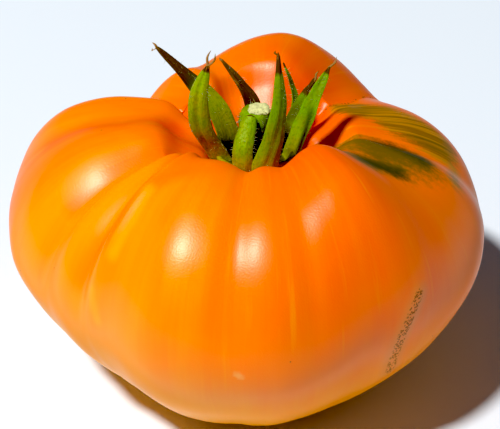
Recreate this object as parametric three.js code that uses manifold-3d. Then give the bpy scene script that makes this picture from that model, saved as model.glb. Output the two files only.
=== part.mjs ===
// A large ribbed orange tomato, as picked: the fruit, its green calyx with a stub of stem, and the stub's torn end.
// Millimetres, +Z up. The fruit rests on a small flat spot round its blossom end, at z = 0.
// The origin is on the surface that it rests on, under the middle of the fruit's outline seen from above.
import * as THREE from 'three'
import { mergeVertices } from 'three/addons/utils/BufferGeometryUtils.js'
import Module from 'manifold-3d'

const { lerp, degToRad, smoothstep } = THREE.MathUtils
const wasm = await Module()
wasm.setup()

// The fruit as it would be with every rib alike: radius at its widest place, and height of its crest.
const FRUIT_RADIUS = 56.5
const CREST_HEIGHT = 67.2

// Its meridian, from the blossom end, out round the widest place, over the crest and down into the stem cavity.
// Each row holds the radius and the height, then three shares from 0 to 1 that say how much counts there of
// a rib's own reach, of a rib's own crest height, and of the depth of the creases.
const MERIDIAN = [
  [0, 0.6, 0, 0, 0],
  [4.5, 0, 0, 0, 0],
  [12, 0, 0, 0, 0],
  [24, 2.7, 0.35, 0.05, 0.15],
  [36, 9.3, 0.7, 0.15, 0.2],
  [47, 18.5, 0.9, 0.3, 0.2],
  [54, 29.5, 1, 0.5, 0.25],
  [56.5, 39.5, 1, 0.7, 0.4],
  [54.5, 49.5, 1, 0.85, 0.75],
  [48.5, 58.5, 1, 0.95, 0.95],
  [40, 64.5, 0.95, 1, 1],
  [31, 67, 0.85, 0.9, 1],
  [23, 67.2, 0.65, 0.7, 1],
  [17.6, 62.6, 0.45, 0.45, 1],
  [12.8, 58.6, 0.25, 0.2, 0.7],
  [9, 52.5, 0.1, 0.05, 0.3],
  [4.5, 52, 0, 0, 0],
  [0, 52, 0, 0, 0]
]

// The ribs, anticlockwise from above. Each row holds the azimuth in degrees of the crease where the rib starts,
// the depth of that crease, how far the rib reaches out from the stem, and the height of its crest.
const RIBS = [
  [5, 3, 54, 57.5],
  [49, 4.8, 55, 68.5],
  [113, 1.4, 42, 66.5],
  [140, 8, 60, 62],
  [173, 1.1, 57, 65],
  [209, 3.4, 54, 64],
  [224, 3, 53.5, 67.5],
  [232, 0.4, 57, 69],
  [265.5, 1.2, 56, 68],
  [285, 1, 52, 72],
  [319, 1.2, 51.5, 61]
].map(([crease, depth, reach, crest]) => ({ crease, depth, reach, crest }))

// How softly a crease is rounded, and how full the back of a rib is.
const CREASE_ROUNDING = 0.4
const RIB_FULLNESS = 0.9

// The blossom end sits this far from under the stem, and has drawn back under it at this height.
const BLOSSOM_END = new THREE.Vector2(-1.5, -4.6)
const BLOSSOM_END_FADES_AT = 20

// The faces: steps along each row of the meridian, and degrees between one column and the next.
const STEPS_PER_ROW = 2
const COLUMN_ANGLE = 4

// The calyx stands in the cavity beside the fruit's own axis.
const CALYX_AXIS = new THREE.Vector2(-0.8, -2)

// Its cup, where the sepals grow together, as radius and height: up the outside and down the inside.
const CUP = [
  [0, 52.4],
  [4.5, 52.4],
  [6.8, 53.8],
  [8.4, 56.2],
  [9.3, 59],
  [8.2, 59.2],
  [7.1, 56.8],
  [5, 55],
  [0, 54.5]
]
const CUP_SIDES = 28

// The stub of stem, from inside the cup's floor up to the swollen knuckle where it came away.
const STUB = [
  [0, 53.5],
  [3.4, 53.5],
  [2.6, 56.5],
  [2.2, 60.5],
  [2.6, 63],
  [3.5, 64.6],
  [3.8, 66.2],
  [3.4, 68],
  [2.6, 69],
  [0, 69]
]
const STUB_SIDES = 18

// The pale torn end on the knuckle, standing a hair's gap above it and off to its right.
const TORN_END = [
  [0, 69.3],
  [2, 69.3],
  [2.3, 69.8],
  [1.7, 70.4],
  [0, 70.6]
]
const TORN_END_OFFSET = 0.6
const TORN_END_SIDES = 14

// The sepals, anticlockwise from the right. A path is a row of azimuth in degrees, radius and height, taken from
// the calyx's axis. turn is how many degrees the sepal's back is turned from facing straight out.
const SEPALS = [
  { width: 4.4, turn: 0, path: [[30, 9.1, 59.5], [34, 10.6, 63.5], [35, 13.3, 67.8], [34, 16.2, 72]] },
  { width: 2.6, turn: 55, path: [[44, 10, 60], [48, 13, 65.5], [55, 13.6, 69.5], [65, 14.4, 73.5]] },
  { width: 5.6, turn: 0, path: [[93, 7.6, 60], [96, 8.8, 66], [109, 11, 69.6], [120, 15.8, 74]] },
  { width: 7, turn: -30, path: [[152, 7.2, 60], [154, 10, 66.8], [157, 16, 73], [158, 24.4, 80.5]] },
  { width: 6.6, turn: 40, path: [[197, 9.8, 60], [203, 13.2, 67], [207, 14, 76], [207, 10.8, 85.5]] },
  { width: 6, turn: 0, path: [[250, 9.4, 60], [250, 9, 64.4], [250, 6.2, 67.8], [254, 3.8, 70]] },
  { width: 6.4, turn: 0, path: [[283, 9.2, 60], [296, 9.4, 67], [305, 9, 76], [306, 7.8, 87]] },
  { width: 6.2, turn: -68, path: [[352, 9, 60.5], [4, 11.3, 66.5], [13, 13.9, 71.6], [20, 17.4, 76.8]] }
]

// Where every sepal's root is sunk, in the floor of the cup and in its wall.
const SEPAL_ROOT = { radius: 3.5, height: 54 }
const SEPAL_IN_WALL = { radius: 7.6, height: 56.2 }

// Half the thickness of a sepal at its root and at its tip, how far its edges stand in from its middle,
// and how full its outline stays towards the tip: 1 is a plain taper, less is blunter.
const SEPAL_ROOT_THICKNESS = 1
const SEPAL_TIP_THICKNESS = 0.4
const SEPAL_CUPPING = 0.9
const SEPAL_TAPER = 0.7
const SEPAL_SIDES = 10
const SEPAL_STEPS = 18

const FRUIT_SKIN = new THREE.MeshStandardMaterial({ color: 0xff8c05, roughness: 0.3, metalness: 0 })
const CALYX_GREEN = new THREE.MeshStandardMaterial({ color: 0x6c9a1e, roughness: 0.65, metalness: 0 })
const STEM_PITH = new THREE.MeshStandardMaterial({ color: 0xe9e6c4, roughness: 0.85, metalness: 0 })

// A smooth curve through every point of a list, in equal steps from one point to the next.
function curveThrough (points) {
  return new THREE.CatmullRomCurve3(points.map(point => new THREE.Vector3(...point)), false, 'catmullrom', 0.5)
}

// The degrees from one rib's crease to the next rib's.
function spanOf (number) {
  const next = RIBS[(number + 1) % RIBS.length]
  return (next.crease - RIBS.at(number).crease + 360) % 360
}

// The back of a rib across its width: 0 in the crease on either side, 1 along its middle.
function ribBack (across) {
  const wave = Math.hypot(Math.sin(Math.PI * across), CREASE_ROUNDING) - CREASE_ROUNDING
  const highest = Math.hypot(1, CREASE_ROUNDING) - CREASE_ROUNDING
  return (wave / highest) ** RIB_FULLNESS
}

// What the ribs do at one azimuth: a share across the rib from its own crease to the next one.
function columnAt (number, across) {
  const rib = RIBS[number]
  const next = RIBS[(number + 1) % RIBS.length]
  const step = across < 0.5 ? -1 : 1
  const neighbour = (number + step + RIBS.length) % RIBS.length
  const middleToMiddle = (spanOf(number) + spanOf(neighbour)) / 2
  const towardsNeighbour = smoothstep(Math.abs(across - 0.5) * spanOf(number) / middleToMiddle, 0, 1)
  const creaseDepth = lerp(rib.depth, next.depth, smoothstep(across, 0, 1))
  return {
    azimuth: degToRad(rib.crease + across * spanOf(number)),
    reach: lerp(rib.reach, RIBS[neighbour].reach, towardsNeighbour) / FRUIT_RADIUS,
    rise: lerp(rib.crest, RIBS[neighbour].crest, towardsNeighbour) / CREST_HEIGHT,
    sink: creaseDepth * (1 - ribBack(across))
  }
}

// All the columns round the fruit, with one on every crease.
function fruitColumns () {
  return RIBS.flatMap((rib, number) => {
    const count = Math.round(spanOf(number) / COLUMN_ANGLE)
    return Array.from({ length: count }, (_, step) => columnAt(number, step / count))
  })
}

// The fruit: its meridian turned round the stem, then drawn in at each crease and out and up along each rib.
function fruitGeometry () {
  const outline = curveThrough(MERIDIAN.map(([radius, height]) => [radius, height, 0]))
  const shares = curveThrough(MERIDIAN.map(([, , reach, rise, crease]) => [reach, rise, crease]))
  const steps = (MERIDIAN.length - 1) * STEPS_PER_ROW
  const profile = outline.getPoints(steps)
  const columns = fruitColumns()
  const geometry = new THREE.LatheGeometry(profile, columns.length)
  const positions = geometry.attributes.position
  for (let index = 0; index < positions.count; index++) {
    const row = index % profile.length
    const column = columns[Math.floor(index / profile.length) % columns.length]
    const tangent = outline.getTangent(row / steps)
    const share = shares.getPoint(row / steps)
    const sink = column.sink * share.z
    const radius = (profile[row].x - tangent.y * sink) * lerp(1, column.reach, share.x)
    const height = Math.max(0, (profile[row].y + tangent.x * sink) * lerp(1, column.rise, share.y))
    const lean = 1 - smoothstep(height, 0, BLOSSOM_END_FADES_AT)
    const x = radius * Math.cos(column.azimuth) + BLOSSOM_END.x * lean
    const y = radius * Math.sin(column.azimuth) + BLOSSOM_END.y * lean
    positions.setXYZ(index, x, y, height)
  }
  geometry.computeVertexNormals()
  return geometry
}

// A round piece turned about the calyx's axis from its profile of radius and height.
function turned (profile, sides) {
  const points = profile.map(([radius, height]) => new THREE.Vector2(radius, height))
  return new THREE.LatheGeometry(points, sides).rotateX(Math.PI / 2)
}

// A place given by azimuth, radius and height.
function fromAxis ([azimuth, radius, height]) {
  const angle = degToRad(azimuth)
  return [radius * Math.cos(angle), radius * Math.sin(angle), height]
}

// One sepal: a ball drawn out along its path, flattened to a blade and cupped, that narrows to the tip.
function sepalGeometry ({ width, turn, path }) {
  const azimuth = path[0][0]
  const root = [azimuth, SEPAL_ROOT.radius, SEPAL_ROOT.height]
  const inWall = [azimuth, SEPAL_IN_WALL.radius, SEPAL_IN_WALL.height]
  const spine = curveThrough([root, inWall, ...path].map(fromAxis))
  const geometry = new THREE.SphereGeometry(1, SEPAL_SIDES, SEPAL_STEPS)
  const positions = geometry.attributes.position
  for (let index = 0; index < positions.count; index++) {
    const along = Math.floor(index / (SEPAL_SIDES + 1)) / SEPAL_STEPS
    const round = 2 * Math.PI * (index % (SEPAL_SIDES + 1)) / SEPAL_SIDES
    const isEnd = along === 0 || along === 1
    const centre = spine.getPoint(along)
    const tangent = spine.getTangent(along)
    const outward = new THREE.Vector3(centre.x, centre.y, 0).normalize()
    const across = new THREE.Vector3(-outward.y, outward.x, 0).applyAxisAngle(tangent, degToRad(turn))
    const inward = new THREE.Vector3().crossVectors(tangent, across).normalize()
    const fullness = isEnd ? 0 : Math.sin(Math.PI * lerp(0.25, 1, along)) ** SEPAL_TAPER
    const halfWidth = width / 2 * fullness
    const halfThickness = isEnd ? 0 : lerp(SEPAL_ROOT_THICKNESS, SEPAL_TIP_THICKNESS, along)
    const cupping = SEPAL_CUPPING * fullness * Math.cos(round) ** 2
    centre.addScaledVector(across, -halfWidth * Math.cos(round))
    centre.addScaledVector(inward, halfThickness * Math.sin(round) + cupping)
    positions.setXYZ(index, centre.x, centre.y, centre.z)
  }
  return geometry
}

// A closed geometry as a solid that can be joined.
function solidOf (geometry) {
  geometry.deleteAttribute('normal')
  geometry.deleteAttribute('uv')
  const merged = mergeVertices(geometry)
  const triVerts = new Uint32Array(merged.index.array)
  const vertProperties = merged.attributes.position.array
  return new wasm.Manifold(new wasm.Mesh({ numProp: 3, vertProperties, triVerts }))
}

// A joined solid as a geometry again.
function geometryOf (solid) {
  const { vertProperties, triVerts } = solid.getMesh()
  const geometry = new THREE.BufferGeometry()
  geometry.setAttribute('position', new THREE.BufferAttribute(vertProperties, 3))
  geometry.setIndex(new THREE.BufferAttribute(triVerts, 1))
  geometry.computeVertexNormals()
  return geometry
}

// The calyx: the cup, the stub of stem that stands in it and the sepals that grow from it, as one body.
function calyxGeometry () {
  const cup = solidOf(turned(CUP, CUP_SIDES))
  const stub = solidOf(turned(STUB, STUB_SIDES))
  const sepals = SEPALS.map(sepal => solidOf(sepalGeometry(sepal)))
  return geometryOf(sepals.reduce((whole, sepal) => whole.add(sepal), cup.add(stub)))
}

function namedMesh (name, geometry, material) {
  const mesh = new THREE.Mesh(geometry, material)
  mesh.name = name
  return mesh
}

const fruit = namedMesh('fruit', fruitGeometry(), FRUIT_SKIN)
const calyx = namedMesh('calyx', calyxGeometry(), CALYX_GREEN)
const tornEnd = namedMesh('stem_torn_end', turned(TORN_END, TORN_END_SIDES), STEM_PITH)
tornEnd.position.x = TORN_END_OFFSET

// What stands in the cavity shares the calyx's axis.
const crown = new THREE.Group()
crown.position.set(CALYX_AXIS.x, CALYX_AXIS.y, 0)
crown.add(calyx, tornEnd)

// The whole is moved so that the middle of the fruit's outline is over the origin.
const middle = new THREE.Box3().setFromObject(fruit).getCenter(new THREE.Vector3())
const tomato = new THREE.Group()
tomato.position.set(-middle.x, -middle.y, 0)
tomato.add(fruit, crown)

export default tomato
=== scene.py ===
"""A large ribbed orange tomato with its calyx, resting on its blossom end.

The skin, the calyx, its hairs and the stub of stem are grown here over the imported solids.
"""

import math
import random

import bmesh
import bpy
from bpy.props import FloatProperty, FloatVectorProperty, IntProperty, PointerProperty
from mathutils import Matrix, Vector, noise


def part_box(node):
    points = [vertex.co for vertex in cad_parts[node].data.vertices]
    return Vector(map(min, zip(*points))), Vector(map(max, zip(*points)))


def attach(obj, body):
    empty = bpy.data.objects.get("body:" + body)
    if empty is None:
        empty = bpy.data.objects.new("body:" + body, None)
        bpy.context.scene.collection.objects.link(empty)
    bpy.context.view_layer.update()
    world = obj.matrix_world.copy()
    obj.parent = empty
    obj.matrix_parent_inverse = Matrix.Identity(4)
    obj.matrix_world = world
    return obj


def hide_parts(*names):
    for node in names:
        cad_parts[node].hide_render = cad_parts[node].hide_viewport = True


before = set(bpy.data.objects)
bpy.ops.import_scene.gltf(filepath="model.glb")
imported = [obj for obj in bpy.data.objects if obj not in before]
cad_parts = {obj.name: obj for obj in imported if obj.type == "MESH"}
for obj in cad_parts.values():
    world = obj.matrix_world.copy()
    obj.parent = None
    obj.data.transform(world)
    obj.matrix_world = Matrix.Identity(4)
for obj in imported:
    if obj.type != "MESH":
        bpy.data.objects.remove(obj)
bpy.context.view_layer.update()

bl_info = {
    "name": "Ribbed Tomato",
    "version": (1, 0, 0),
    "blender": (4, 5, 0),
    "location": "3D View > Sidebar > Tomato",
    "description": "Grows a ribbed tomato with its calyx and sets a plain stage round it",
    "category": "Add Mesh",
}

MM = 0.001

# The outline of the fruit from the blossom end, up the side and down into the cavity, in millimetres:
# radius, height, and the share of a rib's reach, of its rise and of its crease that each row takes.
MERIDIAN = [
    (0, 0.6, 0, 0, 0),
    (4.5, 0, 0, 0, 0),
    (12, 0, 0, 0, 0),
    (24, 2.7, 0.35, 0.05, 0.15),
    (36, 9.3, 0.7, 0.15, 0.2),
    (47, 18.5, 0.9, 0.3, 0.14),
    (54, 29.5, 1, 0.5, 0.14),
    (56.5, 39.5, 1, 0.7, 0.3),
    (54.5, 49.5, 1, 0.85, 0.75),
    (48.5, 58.5, 1, 0.95, 0.95),
    (40, 64.5, 0.95, 1, 1),
    (31, 67, 0.85, 0.9, 1),
    (23, 67.2, 0.65, 0.7, 1),
    (17.6, 62.6, 0.45, 0.45, 1),
    (12.8, 58.6, 0.25, 0.2, 0.7),
    (9, 52.5, 0.1, 0.05, 0.3),
    (4.5, 52, 0, 0, 0),
    (0, 52, 0, 0, 0),
]
FRUIT_RADIUS = 56.5
CREST_HEIGHT = 67.2

# The ribs, anticlockwise from the right: the azimuth of a rib's first crease in degrees, how deep that
# crease is, and how far out and how high the rib reaches.
RIBS = [
    (5, 3, 54, 57.5),
    (49, 4.8, 55, 68.5),
    (113, 1.4, 42, 66.5),
    (140, 8, 60, 62),
    (173, 1.1, 57, 65),
    (209, 3, 54, 64),
    (224, 2.3, 53.5, 67.5),
    (233, 0.4, 57, 69),
    (263.5, 1.4, 56, 68),
    (282, 1.1, 52, 72),
    (319, 0.9, 51.5, 61),
]
CREASE_ROUNDING = 0.4
RIB_FULLNESS = 0.9
BLOSSOM_END = (-1.5, -4.6)
BLOSSOM_END_FADES_AT = 20

CALYX_AXIS = (-0.8, -2)

# Marks on the skin: each is a half width in millimetres, a strength and a row of places. A place is an azimuth
# in degrees and the share of the way from the blossom end to the floor of the cavity.
MOSSY_PATCHES = [
    (13, 1, [(354, 0.73), (351, 0.685), (348, 0.645), (350, 0.61)]),
    (9, 0.85, [(322, 0.662), (330, 0.65), (336, 0.625)]),
]
GREEN_STREAKS = [
    (8, 1.15, [(359, 0.64), (357, 0.615), (355, 0.6)]),
    (5.5, 1, [(326, 0.655), (330, 0.638), (333, 0.615)]),
]
OLIVE_ZONE = [
    (7, 1.1, [(35, 0.68), (31, 0.65), (28, 0.62)]),
    (11, 1.1, [(24, 0.61), (20, 0.585), (16, 0.552)]),
    (6, 0.5, [(13, 0.535), (5, 0.515), (352, 0.53)]),
    (3, 0.25, [(287, 0.635), (289, 0.598), (291, 0.578)]),
    (2.5, 0.2, [(269, 0.682), (270.5, 0.645)]),
]
CORK_SEAMS = [(4, 0.88, [(49, 0.763), (45, 0.71), (44, 0.65), (48, 0.575), (49, 0.547), (48.5, 0.525)])]
SUTURES = [
    (4, 1, [(310, 0.445), (308, 0.43), (306.5, 0.415), (305, 0.398), (304.5, 0.38), (304.5, 0.355), (306, 0.328)]),
]
SCARS = [(1.2, 0.7, [(265, 0.407), (266, 0.402)])]
# A pale yellow streak along a faint rib, then a painted reflection of the floor.
PALE_STREAK_AND_PAINTED_REFLECTION = [
    (3, 0.8, [(231, 0.6), (232, 0.557), (231, 0.51)]),
    (2.5, 0.7, [(227.5, 0.458), (230.5, 0.422)]),
]
MARKS = {
    "moss": MOSSY_PATCHES,
    "green": GREEN_STREAKS,
    "olive": OLIVE_ZONE,
    "cork": CORK_SEAMS,
    "suture": SUTURES,
    "scar": SCARS,
    "pale": PALE_STREAK_AND_PAINTED_REFLECTION,
}

# The azimuths between which the moss and the green fade out, at the crease beside them.
MOSS_EDGE = (8.5, 10)

# Shares of the way up: the pale belly fades over the first, the skin is less ripe below the second and
# riper above the third. The pale belly and the paler skin low down are partly the blossom end's own colour
# and partly painted light bounced up from the floor.
BELLY_AND_BOUNCE_FADES = (0.16, 0.47)
PALER_AND_BOUNCE_LIT_BELOW = (0.22, 0.46)
RIPER_ABOVE = (0.6, 0.8)

# Deeper orange streaks along the creases, in the same form as the marks: partly riper skin, partly painted shade on the
# flanks that turn away from the light.
RIPE_AND_SHADED_CREASES = [
    (4, 0.45, [(171, 0.758), (181, 0.655), (176, 0.595), (176.5, 0.542)]),
    (10, 0.35, [(190, 0.74), (215, 0.72), (235, 0.7)]),
    (4, 0.25, [(229, 0.705), (204.5, 0.675), (203.5, 0.635), (205.5, 0.588), (206, 0.54)]),
    (4, 0.25, [(238.5, 0.665), (230, 0.62), (229.5, 0.588), (228.5, 0.537), (224.5, 0.512), (223, 0.46)]),
]

# How ripe the skin is every 30 degrees round, from the right: 0 is palest and 1 deepest.
RIPENESS_ROUND = [(value,) for value in (0.5, 0.6, 0.75, 0.55, 0.4, 0.35, 0.35, 0.12, 0.2, 0.55, 0.75, 0.6, 0.5)]

# The cup of the calyx and the stub of stem: radius and height in millimetres about the calyx's axis.
CUP = [
    (0, 52.4),
    (4.5, 52.4),
    (6.8, 53.8),
    (8.4, 56.2),
    (9.3, 59),
    (8.2, 59.2),
    (7.1, 56.8),
    (5, 55),
    (0, 54.5),
]
STUB = [
    (0, 53.5),
    (3.4, 53.5),
    (2.6, 56.5),
    (2.2, 60.5),
    (2.6, 63),
    (3.5, 64.6),
    (3.8, 66.2),
    (3.4, 68),
    (2.6, 69),
    (0, 69),
]
TORN_END = [(0, 68.8), (2, 68.8), (2.4, 69.3), (1.9, 69.7), (0, 69.8)]
TORN_END_OFFSET = 0.6

# The sepals, anticlockwise from the right. A path is a row of azimuth in degrees, radius and height about
# the calyx's axis. turn is how far the back is turned from facing straight out. taper is 1 for a plain taper
# and less for a blunter tip, groove is the depth of the midrib, dry is the share that has dried from the tip,
# then comes painted shade that darkens it above the share lit, painted shade on its inner face, pale which
# yellows it, and wisps, the dried threads at the tip, each a sideways lean, an upward lean and a length.
SEPALS = [
    {"width": 4.2, "turn": 0, "taper": 0.7, "groove": 0.3, "dry": 0.2, "painted_shade": 0.1, "lit": 0, "pale": 0.3,
     "wisps": [(0.3, 0.8, 1)], "path": [(30, 9.1, 59.5), (34, 10.6, 63.5), (35, 13.3, 67.8), (34, 16.2, 72)]},
    {"width": 1.9, "turn": 55, "taper": 0.7, "groove": 0.1, "dry": 0.06, "painted_shade": 0.35, "lit": 0, "pale": 0.2,
     "wisps": [], "path": [(44, 10, 60), (48, 13, 65.5), (55, 13.6, 69.5), (65, 14.4, 73.5)]},
    {"width": 5.6, "turn": 0, "taper": 0.7, "groove": 0.3, "dry": 0.9, "painted_shade": 0.9, "lit": 0, "pale": 0,
     "wisps": [(0.2, 0.8, 0.5)], "path": [(93, 7.6, 60), (96, 8.8, 66), (109, 11, 69.6), (120, 15.8, 74)]},
    {"width": 5.6, "turn": -30, "taper": 0.5, "groove": 0.3, "dry": 0.2, "painted_shade": 0.85, "lit": 0.6, "pale": 0.6,
     "painted_inner_shade": 0.15, "wisps": [(0.9, 0.3, 1.1), (-0.2, 0.8, 0.9)],
     "path": [(152, 7.2, 60), (154, 10, 66.8), (157, 16, 73), (158, 24, 80)]},
    {"width": 6.6, "turn": 40, "taper": 0.55, "groove": 0.9, "dry": 0.05, "painted_shade": 0, "lit": 0, "pale": 0.5,
     "wisps": [(0.35, 0.9, 1.7), (-0.5, 0.9, 1.5)],
     "path": [(197, 9.8, 60), (203, 13.2, 67), (207, 14, 76), (207, 11.3, 83.5)]},
    {"width": 4.8, "turn": 0, "taper": 0.2, "groove": 0.25, "dry": 0.03, "painted_shade": 0, "lit": 0, "pale": 0.35,
     "wisps": [], "path": [(250, 9.4, 60), (250, 9, 64.4), (250, 6.2, 67.8), (254, 3.8, 70)]},
    {"width": 6.4, "turn": 0, "taper": 0.75, "groove": 0.3, "dry": 0.09, "painted_shade": 0, "lit": 0, "pale": 0.3,
     "wisps": [(0.6, 0.5, 1)], "path": [(283, 9.2, 60), (296, 9.4, 67), (305, 9, 76), (306, 7.8, 87)]},
    {"width": 4.8, "turn": 48, "taper": 0.6, "groove": 0.3, "dry": 0.06, "painted_shade": 0, "lit": 0, "pale": 0.2,
     "painted_inner_shade": 0.35, "wisps": [(-0.4, 0.9, 1.3)],
     "path": [(352, 9, 60.5), (4, 11.3, 66.5), (13, 13.9, 71.6), (20, 17.4, 76.8)]},
]
SEPAL_ROOT = (3.5, 54)
SEPAL_IN_WALL = (7.6, 56.2)
SEPAL_ROOT_THICKNESS = 1
SEPAL_TIP_THICKNESS = 0.4
SEPAL_CUPPING = 0.9
SEPAL_GRAIN_LENGTH = 36
# Painted shade on a sepal's inner face where the sepal gives none.
PAINTED_INNER_SHADE = 0.6

# Faces round and along each sepal and each dried thread, and round the turned pieces.
SEPAL_FACES = (32, 64)
THREAD_FACES = (10, 14)
CUP_STEPS = 72
STUB_STEPS = 48
TORN_END_STEPS = 40
THREAD_RADIUS = 0.34
THREAD_DRYNESS = 1.4
KNUCKLE = (61, 64)
TORN_FIBRES = 60

# Without a seed of its own, mathutils' noise_vector gives another result in each session.
CUP_SEED = 5

# The skin's unevenness in millimetres: the width of a dent, the radius at which the grain's ring closes on the
# pole, the length along the skin that the grain's unit stands for, and the height below which dents fade out.
DENT_WIDTH = 14
GRAIN_RING = 3
GRAIN_LENGTH = 60
DENTS_FADE_BELOW = 8

# Colours that no setting holds.
SUTURE_TAN = (0.72, 0.26, 0.05, 1)
SCAR_TAN = (0.9, 0.5, 0.15, 1)
DRIED_TAN = (0.45, 0.22, 0.07, 1)
PITH_BROWN = (0.2, 0.13, 0.05, 1)
SKY = (0.85, 1, 1.25, 1)

SENSOR_WIDTH = 36
KEY_DISTANCE = 3
FLOOR_HALF_WIDTH = 6
SEAM_GAP = 1e-4


class TomatoSkin(bpy.types.PropertyGroup):
    """Sizes and colours of the fruit's skin."""

    columns: IntProperty(name="Columns", description="Faces round the fruit", default=400, min=60, max=420)
    rows: IntProperty(
        name="Rows", description="Faces from the blossom end to the cavity", default=200, min=40, max=220,
    )
    dents: FloatProperty(
        name="Dents", description="Height of the broad uneven places", default=0.25 * MM, unit="LENGTH", precision=5,
    )
    ridges: FloatProperty(
        name="Ridges", description="Height of the faint lengthwise ridges",
        default=0.05 * MM, unit="LENGTH", precision=5,
    )
    seam_depth: FloatProperty(
        name="Seam depth", description="Depth of the corky seams", default=0.35 * MM, unit="LENGTH", precision=5,
    )
    suture_height: FloatProperty(
        name="Suture height", description="Height of the dotted suture", default=0.25 * MM, unit="LENGTH", precision=5,
    )
    amber: FloatVectorProperty(
        name="Amber", description="Palest skin", subtype="COLOR", default=(0.97, 0.295, 0.001),
    )
    orange: FloatVectorProperty(
        name="Orange", description="Main skin colour", subtype="COLOR", default=(0.97, 0.185, 0.0005),
    )
    deep: FloatVectorProperty(
        name="Deep orange", description="Ripest skin", subtype="COLOR", default=(0.93, 0.11, 0.0005),
    )
    streak: FloatVectorProperty(
        name="Yellow streak", description="Lengthwise yellow streaks", subtype="COLOR", default=(1, 0.35, 0.002),
    )
    # Painted bounce light: this pale belly colour is partly the blossom end's own and partly light from the floor.
    belly_and_bounce_colour: FloatVectorProperty(
        name="Belly", description="Pale skin low on the fruit", subtype="COLOR", default=(1, 0.4, 0.02),
    )
    green: FloatVectorProperty(
        name="Shoulder green", description="Dark green streaks", subtype="COLOR", default=(0.05, 0.048, 0.001),
    )
    moss: FloatVectorProperty(
        name="Moss green", description="Skin that is turning", subtype="COLOR", default=(0.15, 0.105, 0.002),
    )
    olive: FloatVectorProperty(
        name="Olive", description="Skin that is half ripe", subtype="COLOR", default=(0.32, 0.14, 0.003),
    )
    straw: FloatVectorProperty(
        name="Straw", description="Light lines between the olive ones", subtype="COLOR", default=(0.6, 0.25, 0.012),
    )
    cork: FloatVectorProperty(
        name="Cork", description="Corky seams and specks", subtype="COLOR", default=(0.25, 0.09, 0.02),
    )


class TomatoCalyx(bpy.types.PropertyGroup):
    """Sizes and colours of the calyx, the stub of stem and its torn end."""

    hairs: IntProperty(name="Hairs", description="Number of fine hairs", default=1500, min=0, max=6000)
    hair_length: FloatProperty(
        name="Hair length", description="Longest hair", default=1.2 * MM, unit="LENGTH", precision=5,
    )
    green: FloatVectorProperty(
        name="Leaf green", description="Lit sepals", subtype="COLOR", default=(0.17, 0.34, 0.008),
    )
    pale: FloatVectorProperty(
        name="Yellow green", description="Sepals' bases", subtype="COLOR", default=(0.37, 0.33, 0.006),
    )
    # Painted shade: this dark colour stands for the shade on inner faces, inside the cup and on the stub.
    painted_shade: FloatVectorProperty(
        name="Dark olive", description="Inner faces", subtype="COLOR", default=(0.05, 0.036, 0.004),
    )
    dry: FloatVectorProperty(
        name="Dry brown", description="Dried tips", subtype="COLOR", default=(0.075, 0.024, 0.006),
    )
    hair: FloatVectorProperty(name="Hair", description="Fine hairs", subtype="COLOR", default=(0.75, 0.78, 0.6))
    pith: FloatVectorProperty(
        name="Pith", description="Torn fibres", subtype="COLOR", default=(0.78, 0.77, 0.33),
    )


class TomatoStage(bpy.types.PropertyGroup):
    """The camera, the lights and the floor."""

    lens: FloatProperty(name="Lens", description="Focal length on a 36 mm sensor", default=118.94)
    aim: FloatVectorProperty(
        name="Aim", description="Point that the camera looks at",
        unit="LENGTH", default=(0.9 * MM, 17.01 * MM, 28.2 * MM),
    )
    distance: FloatProperty(
        name="Distance", description="From the camera to its aim", unit="LENGTH", default=0.4,
    )
    elevation: FloatProperty(
        name="Elevation", description="Angle that the camera looks down at", subtype="ANGLE", default=math.radians(35),
    )
    key_power: FloatProperty(name="Key light", description="Power of the key light in watts", default=107)
    key_size: FloatProperty(name="Key size", description="Width of the key light", unit="LENGTH", default=0.3)
    key_azimuth: FloatProperty(
        name="Key azimuth", description="Where the key light stands", subtype="ANGLE", default=math.radians(224),
    )
    key_elevation: FloatProperty(
        name="Key elevation", description="How high the key light stands", subtype="ANGLE", default=math.radians(60),
    )
    fill: FloatProperty(name="Fill", description="Strength of the light from all round", default=0.085)
    floor: FloatVectorProperty(
        name="Floor", description="Pale floor", subtype="COLOR", default=(0.82, 0.88, 0.93),
    )
    black_point: FloatVectorProperty(
        name="Black point", description="Red, green and blue light that the picture shows as black",
        default=(0.028, 0.028, 0.032),
    )


def mix(low, high, share):
    return low + (high - low) * share


def smooth(value, low, high):
    """0 at low, 1 at high, and smooth between them."""
    share = min(max((value - low) / (high - low), 0), 1)
    return share * share * (3 - 2 * share)


def curve_point(rows, share):
    """A row of values at a share of the way along an even smooth curve through every row."""
    last = len(rows) - 1
    place = min(max(share, 0), 1) * last
    step = min(int(place), last - 1)
    t = place - step
    first, second = rows[step], rows[step + 1]
    before = rows[step - 1] if step > 0 else [2 * a - b for a, b in zip(first, second)]
    after = rows[step + 2] if step + 2 <= last else [2 * b - a for a, b in zip(first, second)]
    return [
        b + 0.5 * t * ((c - a) + t * ((2 * a - 5 * b + 4 * c - d) + t * (3 * b - a - 3 * c + d)))
        for a, b, c, d in zip(before, first, second, after)
    ]


def curve_tangent(rows, share):
    ahead = curve_point(rows, min(share + 0.0005, 1))
    behind = curve_point(rows, max(share - 0.0005, 0))
    return Vector([a - b for a, b in zip(ahead, behind)]).normalized()


def drawn_ball(bm, around, rows, place):
    """A closed ball, rolled up from a grid: each vertex is moved to place(along, round), from pole to pole."""
    made = bmesh.ops.create_grid(bm, x_segments=around, y_segments=rows, size=0.5)["verts"]
    joined = []
    for vert in made:
        row = round((vert.co.y + 0.5) * rows)
        column = round((vert.co.x + 0.5) * around)
        at_pole = row in (0, rows)
        if at_pole or column in (0, around):
            joined.append(vert)
        vert.co = place(vert, row / rows, 0 if at_pole else 2 * math.pi * (column % around) / around)
    bmesh.ops.remove_doubles(bm, verts=joined, dist=SEAM_GAP)


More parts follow.
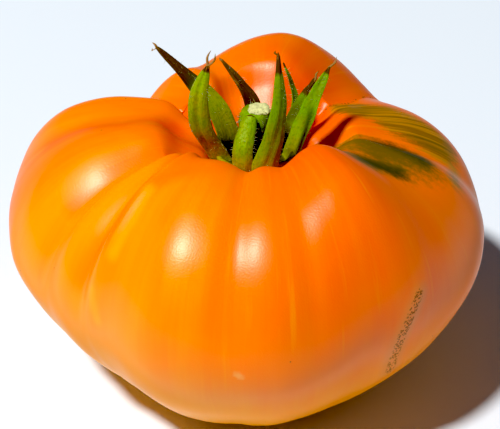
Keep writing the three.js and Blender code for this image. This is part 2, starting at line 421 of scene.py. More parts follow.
def turned(bm, profile, steps, smoothness=4):
    """A closed round piece turned about the upright axis from a profile of radius and height."""
    count = (len(profile) - 1) * smoothness
    points = [curve_point(profile, step / count) for step in range(count + 1)]
    verts = [bm.verts.new((max(radius, 0), 0, height)) for radius, height in points]
    edges = [bm.edges.new(pair) for pair in zip(verts, verts[1:])]
    known = set(bm.verts) - set(verts)
    bmesh.ops.spin(
        bm, geom=verts + edges, cent=(0, 0, 0), axis=(0, 0, 1), angle=2 * math.pi, steps=steps,
        use_merge=True, use_duplicate=False,
    )
    new = [vert for vert in bm.verts if vert not in known]
    bmesh.ops.remove_doubles(bm, verts=new, dist=SEAM_GAP)
    return [vert for vert in bm.verts if vert not in known]


def finished_piece(name, bm, material, nodes=()):
    """Make the piece in metres on the CAD's body, with faces outwards and smooth."""
    bmesh.ops.recalc_face_normals(bm, faces=bm.faces)
    bmesh.ops.scale(bm, vec=(MM, MM, MM), verts=bm.verts)
    mesh = bpy.data.meshes.new(name)
    bm.to_mesh(mesh)
    bm.free()
    mesh.polygons.foreach_set("use_smooth", [True] * len(mesh.polygons))
    mesh.materials.append(material)
    piece = bpy.data.objects.new(name, mesh)
    bpy.context.scene.collection.objects.link(piece)
    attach(piece, "root")
    for node in nodes:
        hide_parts(node)


def rib_span(number):
    return (RIBS[(number + 1) % len(RIBS)][0] - RIBS[number][0]) % 360


def rib_back(across):
    """0 in the crease on either side of a rib and 1 along its middle."""
    wave = math.hypot(math.sin(math.pi * across), CREASE_ROUNDING) - CREASE_ROUNDING
    return (wave / (math.hypot(1, CREASE_ROUNDING) - CREASE_ROUNDING)) ** RIB_FULLNESS


def rib_column(azimuth):
    """How far out, how high and how sunk the skin is at an azimuth in degrees."""
    number = next(n for n in range(len(RIBS)) if (azimuth - RIBS[n][0]) % 360 < rib_span(n))
    _, depth, reach, crest = RIBS[number]
    across = (azimuth - RIBS[number][0]) % 360 / rib_span(number)
    neighbour = (number + (-1 if across < 0.5 else 1)) % len(RIBS)
    between = (rib_span(number) + rib_span(neighbour)) / 2
    share = smooth(abs(across - 0.5) * rib_span(number) / between, 0, 1)
    creased = mix(depth, RIBS[(number + 1) % len(RIBS)][1], smooth(across, 0, 1))
    return (
        mix(reach, RIBS[neighbour][2], share) / FRUIT_RADIUS,
        mix(crest, RIBS[neighbour][3], share) / CREST_HEIGHT,
        creased * (1 - rib_back(across)),
    )


def meridian_row(along):
    radius, height, reach, rise, crease = curve_point(MERIDIAN, along)
    tangent = curve_tangent([row[:2] for row in MERIDIAN], along)
    return radius, height, reach, rise, crease, tangent


def skin_point(azimuth, column, row):
    """A point of the fruit in millimetres about its own axis."""
    radius, height, reach_share, rise_share, crease_share, tangent = row
    reach, rise, sunk = column
    out = (radius - tangent.y * sunk * crease_share) * mix(1, reach, reach_share)
    up = max(0, (height + tangent.x * sunk * crease_share) * mix(1, rise, rise_share))
    lean = 1 - smooth(up, 0, BLOSSOM_END_FADES_AT)
    angle = math.radians(azimuth)
    across = out * math.cos(angle) + BLOSSOM_END[0] * lean
    back = out * math.sin(angle) + BLOSSOM_END[1] * lean
    return Vector((across, back, up))


def skin_place(azimuth, along):
    return skin_point(azimuth, rib_column(azimuth % 360), meridian_row(along))


def stem_axis():
    """Where the fruit's own axis stands, so that the skin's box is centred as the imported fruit's is."""
    low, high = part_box("fruit")
    ring = [skin_place(azimuth, along / 60) for azimuth in range(0, 360, 2) for along in range(20, 44)]
    middle = [(min(p[i] for p in ring) + max(p[i] for p in ring)) / 2 for i in (0, 1)]
    return Vector(((low.x + high.x) / 2 / MM - middle[0], (low.y + high.y) / 2 / MM - middle[1], 0))


def line_strength(point, lines):
    """How near a point is to the nearest of some marks: 1 on a mark's line, 0 at its edge, times its strength."""
    best = 0
    for half_width, strength, places, middle, reach in lines:
        if (point - middle).length_squared > reach:
            continue
        for start, end in zip(places, places[1:]):
            leg = end - start
            share = min(max((point - start).dot(leg) / leg.length_squared, 0), 1)
            near = 1 - (point - start - leg * share).length / half_width
            best = max(best, near * strength)
    return best


def drawn_on_skin(marks):
    """The marks' lines on the skin, each with the middle of a ball that holds it and the ball's radius squared."""
    drawn = []
    for width, strength, places in marks:
        points = [skin_place(*place) for place in places]
        middle = sum(points, Vector()) / len(points)
        radius = max((point - middle).length for point in points) + width
        drawn.append((width, strength, points, middle, radius ** 2))
    return drawn


def ripeness(azimuth, along):
    """How ripe the skin is, from 0 for the palest to 1 for the deepest orange."""
    at_azimuth = curve_point(RIPENESS_ROUND, azimuth / 360)[0]
    # The paler skin low down is partly painted bounce light from the floor.
    return at_azimuth + 0.25 * smooth(along, *RIPER_ABOVE) - 0.5 * (1 - smooth(along, *PALER_AND_BOUNCE_LIT_BELOW))


def put(tree, kind, sockets=None, **settings):
    """A new node. Each socket is given a value or the output that feeds it."""
    made = tree.nodes.new(kind)
    for name, value in settings.items():
        setattr(made, name, value)
    for name, value in (sockets or {}).items():
        if isinstance(value, bpy.types.NodeSocket):
            tree.links.new(value, made.inputs[name])
        else:
            made.inputs[name].default_value = value
    return made


def colour_of(value):
    return (*value, 1)


def blended(tree, share, first, second):
    """Two colours mixed by a share."""
    sockets = {0: share, 6: first, 7: second}
    return put(tree, "ShaderNodeMix", sockets, data_type="RGBA", clamp_factor=True).outputs[2]


def stepped(tree, value, low, high, to_low=0.0, to_high=1.0):
    """A value run smoothly from to_low at low to to_high at high."""
    sockets = {"Value": value, "From Min": low, "From Max": high, "To Min": to_low, "To Max": to_high}
    return put(tree, "ShaderNodeMapRange", sockets, interpolation_type="SMOOTHSTEP", clamp=True).outputs[0]


def maths(tree, first, second, kind="ADD"):
    """The sum of two values, or another operation on them."""
    return put(tree, "ShaderNodeMath", {0: first, 1: second}, operation=kind).outputs[0]


def about_none(tree, noise_value, height):
    """A noise value moved so that its middle is nought, and stretched."""
    return maths(tree, maths(tree, noise_value, 0.5, "SUBTRACT"), height, "MULTIPLY")


def grained(tree, attribute, scale):
    """An attribute's vector, stretched."""
    source = put(tree, "ShaderNodeAttribute", attribute_name=attribute)
    return put(tree, "ShaderNodeMapping", {"Vector": source.outputs["Vector"], "Scale": scale}).outputs[0]


def cloudy(tree, vector, scale, detail=3.0, roughness=0.5, distortion=0.0):
    sockets = {"Vector": vector, "Scale": scale, "Detail": detail, "Roughness": roughness, "Distortion": distortion}
    return put(tree, "ShaderNodeTexNoise", sockets).outputs["Fac"]


def masked(tree, attribute):
    return put(tree, "ShaderNodeAttribute", attribute_name=attribute).outputs["Fac"]


def new_finish(name):
    """A material with its shader, ready for nodes."""
    material = bpy.data.materials.new(name)
    material.use_nodes = True
    tree = material.node_tree
    return material, tree, tree.nodes["Principled BSDF"]


def skin_finish(skin):
    """Waxy orange skin: lengthwise streaks, green shoulders, corky seams, specks and fine pores, with painted shade
    along the creases, painted bounce light low down and a painted reflection streak.
    """
    material, tree, shader = new_finish("tomato_skin")
    place = put(tree, "ShaderNodeTexCoord").outputs["Object"]
    wide = cloudy(tree, grained(tree, "grain", (6, 6, 1.1)), 1, 2)
    fine = cloudy(tree, grained(tree, "grain", (20, 20, 1.6)), 1, 3, 0.6)
    finest = cloudy(tree, grained(tree, "grain", (80, 80, 2.6)), 1, 3, 0.6)
    cloud = cloudy(tree, place, 55, 3)

    # The ripeness mask carries painted shade along the creases and painted bounce light low down.
    ripe_and_painted_light = maths(tree, masked(tree, "ripe_and_painted_light"), about_none(tree, wide, 0.55))
    ripe_and_painted_light = maths(tree, ripe_and_painted_light, about_none(tree, cloud, 0.25))
    ripe_and_painted_light = maths(tree, ripe_and_painted_light, about_none(tree, fine, 0.3))
    colour = blended(tree, stepped(tree, ripe_and_painted_light, 0, 0.5), colour_of(skin.amber), colour_of(skin.orange))
    colour = blended(tree, stepped(tree, ripe_and_painted_light, 0.5, 1), colour, colour_of(skin.deep))
    colour = blended(tree, stepped(tree, fine, 0.56, 0.8, 0, 0.5), colour, colour_of(skin.streak))
    colour = blended(tree, stepped(tree, finest, 0.5, 0.8, 0, 0.12), colour, colour_of(skin.deep))
    # Pale marks: a yellow streak, and a painted reflection of the floor.
    pale = maths(tree, masked(tree, "pale"), about_none(tree, fine, 0.6))
    colour = blended(tree, stepped(tree, pale, 0.1, 0.8, 0, 0.8), colour, colour_of(skin.streak))

    # Pale belly: partly the blossom end's own colour, partly painted bounce light from the floor.
    under = maths(tree, masked(tree, "under"), about_none(tree, wide, 0.6))
    colour = blended(tree, stepped(tree, under, 0, 1, 0, 0.75), colour, colour_of(skin.belly_and_bounce_colour))

    stripes = cloudy(tree, grained(tree, "grain", (70, 70, 1.3)), 1, 2, 0.55, 0.2)
    grit = cloudy(tree, place, 900, 4, 0.65)
    olive = maths(tree, masked(tree, "olive"), about_none(tree, stripes, 0.9))
    olive = maths(tree, olive, about_none(tree, grit, 0.5))
    inside = stepped(tree, masked(tree, "olive"), 0, 0.45)
    half_ripe = blended(tree, stepped(tree, fine, 0.4, 0.62), colour_of(skin.olive), colour_of(skin.straw))
    half_ripe = blended(tree, stepped(tree, stripes, 0.5, 0.36, 0, 0.75), half_ripe, colour_of(skin.moss))
    colour = blended(tree, maths(tree, stepped(tree, olive, 0.1, 0.6), inside, "MULTIPLY"), colour, half_ripe)
    mottled = maths(tree, about_none(tree, fine, 0.25), about_none(tree, grit, 0.6))
    mottled = maths(tree, mottled, about_none(tree, cloudy(tree, place, 200, 3, 0.6), 0.7))
    mottled = maths(tree, mottled, about_none(tree, stripes, 0.15))
    mossy = maths(tree, masked(tree, "moss"), mottled)
    inside = stepped(tree, masked(tree, "moss"), 0, 0.4)
    turning = blended(tree, stepped(tree, mossy, 0.3, 0.85), colour_of(skin.olive), colour_of(skin.moss))
    colour = blended(tree, maths(tree, stepped(tree, mossy, 0, 0.75, 0, 0.95), inside, "MULTIPLY"), colour, turning)
    patchy = maths(tree, masked(tree, "green"), mottled)
    inside = stepped(tree, masked(tree, "green"), 0, 0.6)
    greened = maths(tree, stepped(tree, patchy, 0.1, 1), inside, "MULTIPLY")
    colour = blended(tree, greened, colour, colour_of(skin.green))

    beads = put(tree, "ShaderNodeTexVoronoi", {"Vector": place, "Scale": 1100.0}).outputs["Distance"]
    seam = maths(tree, masked(tree, "cork"), maths(tree, beads, 0.25, "MULTIPLY"), "SUBTRACT")
    seam = stepped(tree, seam, 0.7, 0.76)
    dots = put(tree, "ShaderNodeTexVoronoi", {"Vector": place, "Scale": 1900.0}).outputs["Distance"]
    band = stepped(tree, masked(tree, "suture"), 0.62, 0.78)
    dotted = maths(tree, stepped(tree, dots, 0.52, 0.38), band, "MULTIPLY")
    tanned = stepped(tree, masked(tree, "suture"), 0, 0.8, 0, 0.5)
    colour = blended(tree, tanned, colour, SUTURE_TAN)
    specks = put(tree, "ShaderNodeTexVoronoi", {"Vector": place, "Scale": 220.0})
    chosen = stepped(tree, put(tree, "ShaderNodeSeparateColor", {0: specks.outputs["Color"]}).outputs[0], 0.9, 0.92)
    speck = maths(tree, stepped(tree, specks.outputs["Distance"], 0.05, 0.03), chosen, "MULTIPLY")
    corked = maths(tree, maths(tree, seam, dotted, "MAXIMUM"), speck, "MAXIMUM")
    colour = blended(tree, maths(tree, corked, 0.85, "MULTIPLY"), colour, colour_of(skin.cork))
    scar = stepped(tree, masked(tree, "scar"), 0.1, 0.5, 0, 0.4)
    colour = blended(tree, scar, colour, SCAR_TAN)

    rough = stepped(tree, cloud, 0.3, 0.7, 0.35, 0.4)
    rough = maths(tree, rough, stepped(tree, masked(tree, "moss"), 0, 0.5, 0, 0.15))
    facing = put(tree, "ShaderNodeLayerWeight", {"Blend": 0.5}).outputs["Facing"]
    rough = maths(tree, rough, stepped(tree, facing, 0.5, 0.7, 0, 0.2))
    rough = maths(tree, rough, stepped(tree, facing, 0.72, 0.95, 0, 0.2), "SUBTRACT")
    rough = maths(tree, rough, maths(tree, maths(tree, corked, scar, "MAXIMUM"), 0.4, "MULTIPLY"))
    pores = cloudy(tree, place, 2600, 2)
    relief = maths(tree, maths(tree, pores, 0.4, "MULTIPLY"), maths(tree, finest, 0.08, "MULTIPLY"))
    relief = maths(tree, relief, maths(tree, corked, 0.6, "MULTIPLY"))
    bump = put(tree, "ShaderNodeBump", {"Strength": 0.25, "Distance": 0.0003, "Height": relief})

    tree.links.new(colour, shader.inputs["Base Color"])
    tree.links.new(rough, shader.inputs["Roughness"])
    tree.links.new(bump.outputs[0], shader.inputs["Normal"])
    shader.inputs["IOR"].default_value = 1.52
    shader.inputs["Subsurface Weight"].default_value = 0.15
    shader.inputs["Subsurface Radius"].default_value = (1, 0.35, 0.05)
    shader.inputs["Subsurface Scale"].default_value = 0.004
    shader.inputs["Specular Tint"].default_value = (1, 0.88, 0.75, 1)
    return material


def leaf_finish(calyx):
    """Softly hairy green leaf that yellows at the base, has painted shade inside and dries brown at the tip."""
    material, tree, shader = new_finish("calyx_leaf")
    place = put(tree, "ShaderNodeTexCoord").outputs["Object"]
    veins = cloudy(tree, grained(tree, "grain", (2.6, 0.22, 1)), 1, 3, 0.6)
    cells = cloudy(tree, place, 1500, 3, 0.6)
    blotches = cloudy(tree, place, 260, 3)
    wobble = about_none(tree, blotches, 0.9)
    lines = about_none(tree, veins, 0.5)

    pale = maths(tree, masked(tree, "pale"), maths(tree, wobble, lines))
    colour = blended(tree, stepped(tree, pale, 0.1, 0.95), colour_of(calyx.green), colour_of(calyx.pale))
    darker = colour_of([c * 0.45 for c in calyx.green])
    colour = blended(tree, stepped(tree, cells, 0.45, 0.7, 0, 0.45), colour, darker)
    # Painted shade: the shade mask darkens inner faces, the cup's inside, the sepals' bases and one side of the stub.
    painted_shade = maths(tree, masked(tree, "painted_shade"), wobble)
    colour = blended(tree, stepped(tree, painted_shade, 0.2, 0.9), colour, colour_of(calyx.painted_shade))
    dried = maths(tree, masked(tree, "dry"), maths(tree, wobble, lines))
    colour = blended(tree, stepped(tree, dried, 0.3, 0.75), colour, colour_of(calyx.dry))
    colour = blended(tree, maths(tree, stepped(tree, dried, 1.15, 1.5), 0.8, "MULTIPLY"), colour, DRIED_TAN)

    relief = maths(tree, maths(tree, cells, 0.6, "MULTIPLY"), maths(tree, veins, 0.8, "MULTIPLY"))
    bump = put(tree, "ShaderNodeBump", {"Strength": 0.5, "Distance": 0.0003, "Height": relief})
    rough = stepped(tree, cells, 0.3, 0.7, 0.5, 0.7)
    tree.links.new(colour, shader.inputs["Base Color"])
    tree.links.new(rough, shader.inputs["Roughness"])
    tree.links.new(bump.outputs[0], shader.inputs["Normal"])
    shader.inputs["Sheen Weight"].default_value = 0.06
    shader.inputs["Sheen Roughness"].default_value = 0.4
    shader.inputs["Specular Tint"].default_value = (0.9, 1, 0.4, 1)
    shader.inputs["Subsurface Weight"].default_value = 0.1
    shader.inputs["Subsurface Radius"].default_value = (0.4, 1, 0.1)
    shader.inputs["Subsurface Scale"].default_value = 0.001
    return material


def pith_finish(calyx):
    """Pale torn fibres with brown ends."""
    material, tree, shader = new_finish("torn_pith")
    place = put(tree, "ShaderNodeTexCoord").outputs["Object"]
    drawn_up = put(tree, "ShaderNodeMapping", {"Vector": place, "Scale": (1, 1, 0.3)}).outputs[0]
    fibres = cloudy(tree, drawn_up, 1800, 4, 0.65)
    patches = cloudy(tree, place, 500, 3)
    darker = colour_of([c * 0.75 for c in calyx.pith])
    colour = blended(tree, stepped(tree, fibres, 0.4, 0.65), darker, colour_of(calyx.pith))
    colour = blended(tree, stepped(tree, patches, 0.58, 0.78, 0, 0.5), colour, PITH_BROWN)
    bump = put(tree, "ShaderNodeBump", {"Strength": 0.3, "Distance": 0.0001, "Height": fibres})
    tree.links.new(colour, shader.inputs["Base Color"])
    tree.links.new(stepped(tree, fibres, 0.3, 0.7, 0.6, 0.9), shader.inputs["Roughness"])
    tree.links.new(bump.outputs[0], shader.inputs["Normal"])
    return material


def hair_finish(calyx):
    """Fine hairs, clear white to straw."""
    material, tree, shader = new_finish("calyx_hair")
    place = put(tree, "ShaderNodeTexCoord").outputs["Object"]
    tone = cloudy(tree, place, 300, 2)
    darker = colour_of([c * 0.5 for c in calyx.hair])
    colour = blended(tree, stepped(tree, tone, 0.4, 0.65), darker, colour_of(calyx.hair))
    tree.links.new(colour, shader.inputs["Base Color"])
    tree.links.new(stepped(tree, tone, 0.3, 0.7, 0.35, 0.55), shader.inputs["Roughness"])
    return material


def floor_finish(stage):
    """A matt pale board with a very slight unevenness."""
    material, tree, shader = new_finish("pale_floor")
    place = put(tree, "ShaderNodeTexCoord").outputs["Object"]
    tone = cloudy(tree, place, 6, 3)
    darker = colour_of([c * 0.985 for c in stage.floor])
    tree.links.new(blended(tree, tone, darker, colour_of(stage.floor)), shader.inputs["Base Color"])
    shader.inputs["Roughness"].default_value = 0.8
    return material


class TOMATO_OT_fruit_skin(bpy.types.Operator):
    """Grow the ribbed fruit with its seams, dents and coloured shoulders"""

    bl_idname = "tomato.fruit_skin"
    bl_label = "Fruit skin"

    def execute(self, context):
        skin = context.scene.tomato_skin
        rows = [meridian_row(row / skin.rows) for row in range(skin.rows + 1)]
        columns = [rib_column(360 * column / skin.columns) for column in range(skin.columns)]
        marks = {name: drawn_on_skin(lines) for name, lines in MARKS.items()}
        ripe_and_shaded_creases = drawn_on_skin(RIPE_AND_SHADED_CREASES)
        lengths = [0]
        for before, row in zip(rows, rows[1:]):
            lengths.append(lengths[-1] + math.hypot(row[0] - before[0], row[1] - before[1]))

        bm = bmesh.new()
        layers = {name: bm.verts.layers.float.new(name) for name in (*marks, "ripe_and_painted_light", "under")}
        grain = bm.verts.layers.float_vector.new("grain")

        def place(vert, along, turn):
            row = round(along * skin.rows)
            column = round(turn / (2 * math.pi) * skin.columns) % skin.columns
            azimuth = 360 * column / skin.columns
            point = skin_point(azimuth, columns[column], rows[row])
            ring = min(rows[row][0] / GRAIN_RING, 1)
            vert[grain] = (math.cos(turn) * ring, math.sin(turn) * ring, lengths[row] / GRAIN_LENGTH)
            vert[layers["ripe_and_painted_light"]] = ripeness(azimuth, along) + line_strength(point, ripe_and_shaded_creases)
            vert[layers["under"]] = 1 - smooth(along, *BELLY_AND_BOUNCE_FADES)
            for name, lines in marks.items():
                vert[layers[name]] = line_strength(point, lines)
            if azimuth < 90:
                for name in ("moss", "green"):
                    vert[layers[name]] *= 1 - smooth(azimuth, *MOSS_EDGE)
            return point

        drawn_ball(bm, skin.columns, skin.rows, place)
        bm.normal_update()
        for vert in bm.verts:
            flow = Vector(vert[grain])
            streaked = Vector((flow.x * 14, flow.y * 14, flow.z * 1.5))
            lift = skin.dents / MM * noise.noise(vert.co / DENT_WIDTH) + skin.ridges / MM * noise.noise(streaked)
            lift *= smooth(vert.co.z, 0, DENTS_FADE_BELOW)
            lift -= skin.seam_depth / MM * smooth(vert[layers["cork"]], 0.6, 0.95)
            lift += skin.suture_height / MM * smooth(vert[layers["suture"]], 0.1, 1)
            vert.co += vert.normal * lift
        bmesh.ops.translate(bm, vec=stem_axis(), verts=bm.verts)
        finished_piece("fruit_skin", bm, skin_finish(skin), ["fruit"])
        return {"FINISHED"}


def calyx_axis():
    return stem_axis() + Vector((*CALYX_AXIS, 0))


def round_axis(azimuth, radius, height):
    angle = math.radians(azimuth)
    return Vector((radius * math.cos(angle), radius * math.sin(angle), height))


def sepal_spine(sepal):
    azimuth = sepal["path"][0][0]
    return [round_axis(*place) for place in [(azimuth, *SEPAL_ROOT), (azimuth, *SEPAL_IN_WALL), *sepal["path"]]]


def sepal_point(sepal, spine, along, turn):
    """A point of a sepal's skin, and its place across and along the sepal."""
    at_pole = along in (0, 1)
    centre = Vector(curve_point(spine, along))
    tangent = curve_tangent(spine, along)
    outward = Vector((centre.x, centre.y, 0)).normalized()
    across = Matrix.Rotation(math.radians(sepal["turn"]), 3, tangent) @ Vector((-outward.y, outward.x, 0))
    inward = tangent.cross(across).normalized()
    fullness = 0 if at_pole else max(math.sin(math.pi * mix(0.25, 1, along)), 0) ** sepal["taper"]
    side, face = math.cos(turn), math.sin(turn)
    seed = Vector((sepal["path"][0][0], 0, 0))
    wrinkle = noise.noise(seed + Vector((side * 2.2, along * 9, face)))
    uneven = noise.noise(seed + Vector((3 if side > 0 else 7, along * 7, 0)))
    half_width = sepal["width"] / 2 * fullness * (1 + 0.12 * uneven)
    dried = smooth(along, 1 - sepal["dry"] * 1.3, 1 - sepal["dry"] * 0.5)
    half_width *= mix(1, 0.75, dried)
    half_thickness = 0 if at_pole else mix(SEPAL_ROOT_THICKNESS, SEPAL_TIP_THICKNESS, along)
    bend = SEPAL_CUPPING * fullness * side * side
    groove = sepal["groove"] * fullness * math.exp(-((side / 0.2) ** 2)) * (1 if face < 0 else -0.3)
    ridges = 0.07 * fullness * math.cos(side * 14)
    creased = 0 if at_pole else 0.16 * wrinkle * (1 + 1.5 * dried)
    depth = half_thickness * face * (1 + ridges) + bend + groove + creased
    return centre - across * half_width * side + inward * depth, (side * half_width, along * SEPAL_GRAIN_LENGTH)


class TOMATO_OT_calyx(bpy.types.Operator):
    """Grow the cup, the sepals with their dried tips, and the stub of stem with its knuckle"""

    bl_idname = "tomato.calyx"
    bl_label = "Calyx"

    def execute(self, context):
        bm = bmesh.new()
        layers = {name: bm.verts.layers.float.new(name) for name in ("pale", "painted_shade", "dry")}
        grain = bm.verts.layers.float_vector.new("grain")

        noise.seed_set(CUP_SEED)
        for vert in turned(bm, CUP, CUP_STEPS):
            angle = math.atan2(vert.co.y, vert.co.x)
            vert.co += Vector((vert.co.x, vert.co.y, 0)) * 0.03 * math.sin(9 * angle)
            vert.co += noise.noise_vector(vert.co / 1.5) * 0.15
            rim = smooth(math.hypot(vert.co.x, vert.co.y), 7.9, 8.9)
            vert[layers["pale"]] = rim
            # Painted shade inside the cup, lighter at its rim.
            vert[layers["painted_shade"]] = 1.1 - 0.65 * rim
            vert[grain] = (angle * 8, vert.co.z, 0)
        for vert in turned(bm, STUB, STUB_STEPS):
            angle = math.atan2(vert.co.y, vert.co.x)
            knuckle = smooth(vert.co.z, *KNUCKLE)
            lumps = noise.noise(vert.co / 0.9) * 0.3 * knuckle + noise.noise(vert.co / 2.4) * 0.25
            vert.co += Vector((vert.co.x, vert.co.y, 0)).normalized() * lumps
            vert[layers["pale"]] = 0.35
            # Painted shade on the stub below the knuckle and on the side of the knuckle away from the light.
            vert[layers["painted_shade"]] = 0.9 * (1 - knuckle) + 0.5 * knuckle * smooth(math.cos(angle + 0.3), 0.2, 0.9)
            vert[grain] = (angle * 3, vert.co.z, 20)

        for number, sepal in enumerate(SEPALS):
            spine = sepal_spine(sepal)

            def place(vert, along, turn):
                point, (across, length) = sepal_point(sepal, spine, along, turn)
                face = math.sin(turn)
                vert[layers["dry"]] = smooth(along, 1 - sepal["dry"] * 1.5, 1 - sepal["dry"] * 0.5)
                vert[layers["pale"]] = sepal["pale"] + 0.5 * (1 - smooth(along, 0.3, 0.7))
                # Painted shade: above the share lit, on the inner face, and at the base among the other sepals.
                vert[layers["painted_shade"]] = max(
                    sepal["painted_shade"] * smooth(along, sepal["lit"], sepal["lit"] + 0.2),
                    sepal.get("painted_inner_shade", PAINTED_INNER_SHADE) * smooth(face, 0, 0.6),
                    0.9 * (1 - smooth(along, 0.12, 0.26)),
                )
                vert[grain] = (across, length, number * 10)
                return point

            drawn_ball(bm, *SEPAL_FACES, place)
            tip = Vector(curve_point(spine, 0.985))
            onward = curve_tangent(spine, 0.98)
            aside = onward.cross(Vector((0, 1, 0))).normalized()
            for order, (lean, rise, length) in enumerate(sepal["wisps"]):
                reach = onward * rise + aside * lean
                end = tip + (reach * 2.4 - aside * lean * 1.6) * length
                bent = [tip - onward * 1.2, tip, tip + reach * 1.2 * length, end]

                def thread(vert, along, turn):
                    centre = Vector(curve_point(bent, along))
                    thick = THREAD_RADIUS * math.sin(math.pi * mix(0.3, 1, along)) ** 0.8 if 0 < along < 1 else 0
                    vert[layers["dry"]] = THREAD_DRYNESS
                    vert[grain] = (turn, along * 3, number * 10 + order)
                    return centre + (aside * math.cos(turn) + aside.cross(onward) * math.sin(turn)) * thick

                drawn_ball(bm, *THREAD_FACES, thread)
        bmesh.ops.translate(bm, vec=calyx_axis(), verts=bm.verts)
        calyx = context.scene.tomato_calyx
        finished_piece("calyx_and_stub", bm, leaf_finish(calyx), ["calyx"])
        return {"FINISHED"}


class TOMATO_OT_torn_end(bpy.types.Operator):
    """Tear the end of the stub: a ragged pale disc with fibres round its rim"""

    bl_idname = "tomato.torn_end"
    bl_label = "Torn end"

    def execute(self, context):
        rng = random.Random(11)
        bm = bmesh.new()
        for vert in turned(bm, TORN_END, TORN_END_STEPS):
            ragged = smooth(vert.co.z, 69.2, 69.7)
            lumps = 0.3 * noise.noise(vert.co * 0.7) + 0.03 * noise.noise(vert.co * 4)
            vert.co += Vector((0, 0, 1)) * ragged * lumps
            vert.co += Vector((vert.co.x, vert.co.y, 0)) * 0.35 * noise.noise(vert.co * 0.9)
        for _ in range(TORN_FIBRES):
            angle = rng.gauss(0, 1.2)
            radius = rng.uniform(1.4, 2.4)
            start = Vector((radius * math.cos(angle), radius * math.sin(angle), 69.4))
            outward = Vector((math.cos(angle), math.sin(angle), 0)) * rng.uniform(0, 1.2)
            lean = outward + Vector((rng.uniform(-0.4, 0.4), rng.uniform(-0.4, 0.4), rng.uniform(-0.1, 0.6)))
            length = rng.uniform(0.4, 1.3)
            middle = start + lean.normalized() * length / 2
            turn = Vector((0, 0, 1)).rotation_difference(lean).to_matrix().to_4x4()
            bmesh.ops.create_cone(
                bm, segments=5, radius1=rng.uniform(0.04, 0.08), radius2=0.015, depth=length, cap_ends=True,
                matrix=Matrix.Translation(middle) @ turn,
            )
        bmesh.ops.translate(bm, vec=calyx_axis() + Vector((TORN_END_OFFSET, 0, 0)), verts=bm.verts)
        finished_piece("torn_stem_end", bm, pith_finish(context.scene.tomato_calyx), ["stem_torn_end"])
        return {"FINISHED"}


def standing_on(root, lean, length):
    """The turn and place of a hair of that length that stands on its root."""
    turn = Vector((0, 0, 1)).rotation_difference(lean).to_matrix().to_4x4()
    return Matrix.Translation(root + lean.normalized() * length * 0.48) @ turn @ Matrix.Scale(length, 4, (0, 0, 1))


def grown_hairs(matrices, batch=60):
    """A thin three-sided hair at each place, made in small batches, which Blender's operators work faster on."""
    whole = bmesh.new()
    for first in range(0, len(matrices), batch):
        some = bmesh.new()
        for matrix in matrices[first:first + batch]:
            bmesh.ops.create_cone(some, segments=3, radius1=0.035, radius2=0.008, depth=1, cap_ends=True, matrix=matrix)
        mesh = bpy.data.meshes.new("hair_batch")
        some.to_mesh(mesh)
        some.free()
        whole.from_mesh(mesh)
        bpy.data.meshes.remove(mesh)
    return whole


class TOMATO_OT_hairs(bpy.types.Operator):
    """Grow the fine hairs on the cup, the sepals and the stub"""

    bl_idname = "tomato.hairs"
    bl_label = "Hairs"

    def execute(self, context):
        calyx = context.scene.tomato_calyx
        rng = random.Random(7)
        spines = [sepal_spine(sepal) for sepal in SEPALS]
        matrices = []
        for _ in range(calyx.hairs):
            number = rng.randrange(len(SEPALS))
            along = rng.uniform(0.2, 0.93)
            turn = rng.uniform(0, 2 * math.pi)
            root, _ = sepal_point(SEPALS[number], spines[number], along, turn)
            ahead, _ = sepal_point(SEPALS[number], spines[number], along + 0.01, turn)
            aside, _ = sepal_point(SEPALS[number], spines[number], along, turn + 0.05)
            facing = (aside - root).cross(ahead - root).normalized()
            centre = Vector(curve_point(spines[number], along))
            if facing.dot(root - centre) < 0:
                facing = -facing
            lean = facing + Vector([rng.uniform(-0.45, 0.45) for _ in range(3)])
            length = calyx.hair_length / MM * rng.uniform(0.25, 1) ** 1.5
            matrices.append(standing_on(root, lean, length))
        for _ in range(calyx.hairs // 3):
            angle, height = rng.uniform(0, 2 * math.pi), rng.uniform(57, 68.5)
            radius = 2.4 if height < 62 else 3.4
            outward = Vector((math.cos(angle), math.sin(angle), rng.uniform(-0.3, 0.5)))
            lean = outward + Vector([rng.uniform(-0.3, 0.3) for _ in range(3)])
            length = calyx.hair_length / MM * rng.uniform(0.4, 1.6)
            root = Vector((radius * math.cos(angle), radius * math.sin(angle), height))
            matrices.append(standing_on(root, lean, length))
        bm = grown_hairs(matrices)
        bmesh.ops.translate(bm, vec=calyx_axis(), verts=bm.verts)
        finished_piece("calyx_hairs", bm, hair_finish(calyx))
        return {"FINISHED"}


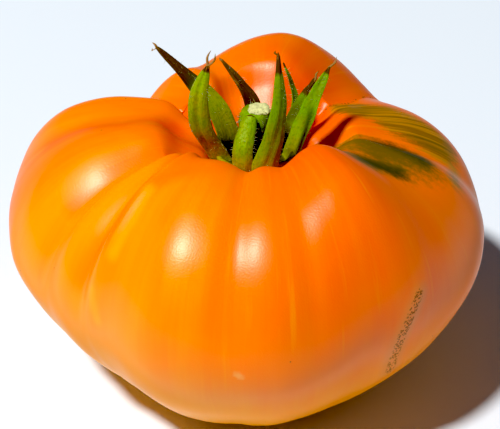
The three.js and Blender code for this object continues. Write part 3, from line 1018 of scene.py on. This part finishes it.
class TOMATO_OT_stage(bpy.types.Operator):
    """Set the camera, the key light, the fill and the pale floor"""

    bl_idname = "tomato.stage"
    bl_label = "Stage"

    def execute(self, context):
        scene, stage = context.scene, context.scene.tomato_stage
        aim = Vector(stage.aim)
        away = Vector((0, -math.cos(stage.elevation), math.sin(stage.elevation)))
        camera = bpy.data.cameras.new("camera")
        camera.lens = stage.lens
        camera.sensor_width = SENSOR_WIDTH
        camera.clip_start = 0.01
        eye = bpy.data.objects.new("camera", camera)
        eye.location = aim + away * stage.distance
        eye.rotation_euler = (-away).to_track_quat("-Z", "Y").to_euler()
        scene.collection.objects.link(eye)
        scene.camera = eye

        key = bpy.data.lights.new("key_light", "AREA")
        key.shape = "DISK"
        key.size = stage.key_size
        key.energy = stage.key_power
        key.color = (1, 1, 1)
        lamp = bpy.data.objects.new("key_light", key)
        towards = Vector((
            math.cos(stage.key_elevation) * math.cos(stage.key_azimuth),
            math.cos(stage.key_elevation) * math.sin(stage.key_azimuth),
            math.sin(stage.key_elevation),
        ))
        lamp.location = towards * KEY_DISTANCE
        lamp.rotation_euler = (-towards).to_track_quat("-Z", "Y").to_euler()
        scene.collection.objects.link(lamp)

        world = bpy.data.worlds.new("pale_room")
        world.use_nodes = True
        sky = world.node_tree.nodes["Background"]
        sky.inputs["Color"].default_value = SKY
        sky.inputs["Strength"].default_value = stage.fill
        scene.world = world
        scene.view_settings.view_transform = "Standard"
        scene.view_settings.use_curve_mapping = True
        scene.view_settings.curve_mapping.black_level = stage.black_point
        scene.view_settings.curve_mapping.update()

        bm = bmesh.new()
        bmesh.ops.create_grid(bm, x_segments=4, y_segments=4, size=FLOOR_HALF_WIDTH)
        mesh = bpy.data.meshes.new("floor")
        bm.to_mesh(mesh)
        bm.free()
        mesh.materials.append(floor_finish(stage))
        floor = bpy.data.objects.new("floor", mesh)
        scene.collection.objects.link(floor)
        return {"FINISHED"}


class TOMATO_PT_panel(bpy.types.Panel):
    """The tomato's pieces and their settings"""

    bl_idname = "TOMATO_PT_panel"
    bl_label = "Ribbed Tomato"
    bl_space_type = "VIEW_3D"
    bl_region_type = "UI"
    bl_category = "Tomato"

    def draw(self, context):
        for piece in PIECES:
            self.layout.operator(piece.bl_idname)
        for group in (context.scene.tomato_skin, context.scene.tomato_calyx, context.scene.tomato_stage):
            box = self.layout.box()
            for name in group.__annotations__:
                box.prop(group, name)


PIECES = (TOMATO_OT_fruit_skin, TOMATO_OT_calyx, TOMATO_OT_torn_end, TOMATO_OT_hairs, TOMATO_OT_stage)
CLASSES = (TomatoSkin, TomatoCalyx, TomatoStage, *PIECES, TOMATO_PT_panel)


def register():
    for cls in CLASSES:
        bpy.utils.register_class(cls)
    bpy.types.Scene.tomato_skin = PointerProperty(type=TomatoSkin)
    bpy.types.Scene.tomato_calyx = PointerProperty(type=TomatoCalyx)
    bpy.types.Scene.tomato_stage = PointerProperty(type=TomatoStage)


def unregister():
    del bpy.types.Scene.tomato_stage, bpy.types.Scene.tomato_calyx, bpy.types.Scene.tomato_skin
    for cls in reversed(CLASSES):
        bpy.utils.unregister_class(cls)


def main():
    register()
    bpy.ops.tomato.fruit_skin()
    bpy.ops.tomato.calyx()
    bpy.ops.tomato.torn_end()
    bpy.ops.tomato.hairs()
    bpy.ops.tomato.stage()


if __name__ == "__main__":
    main()
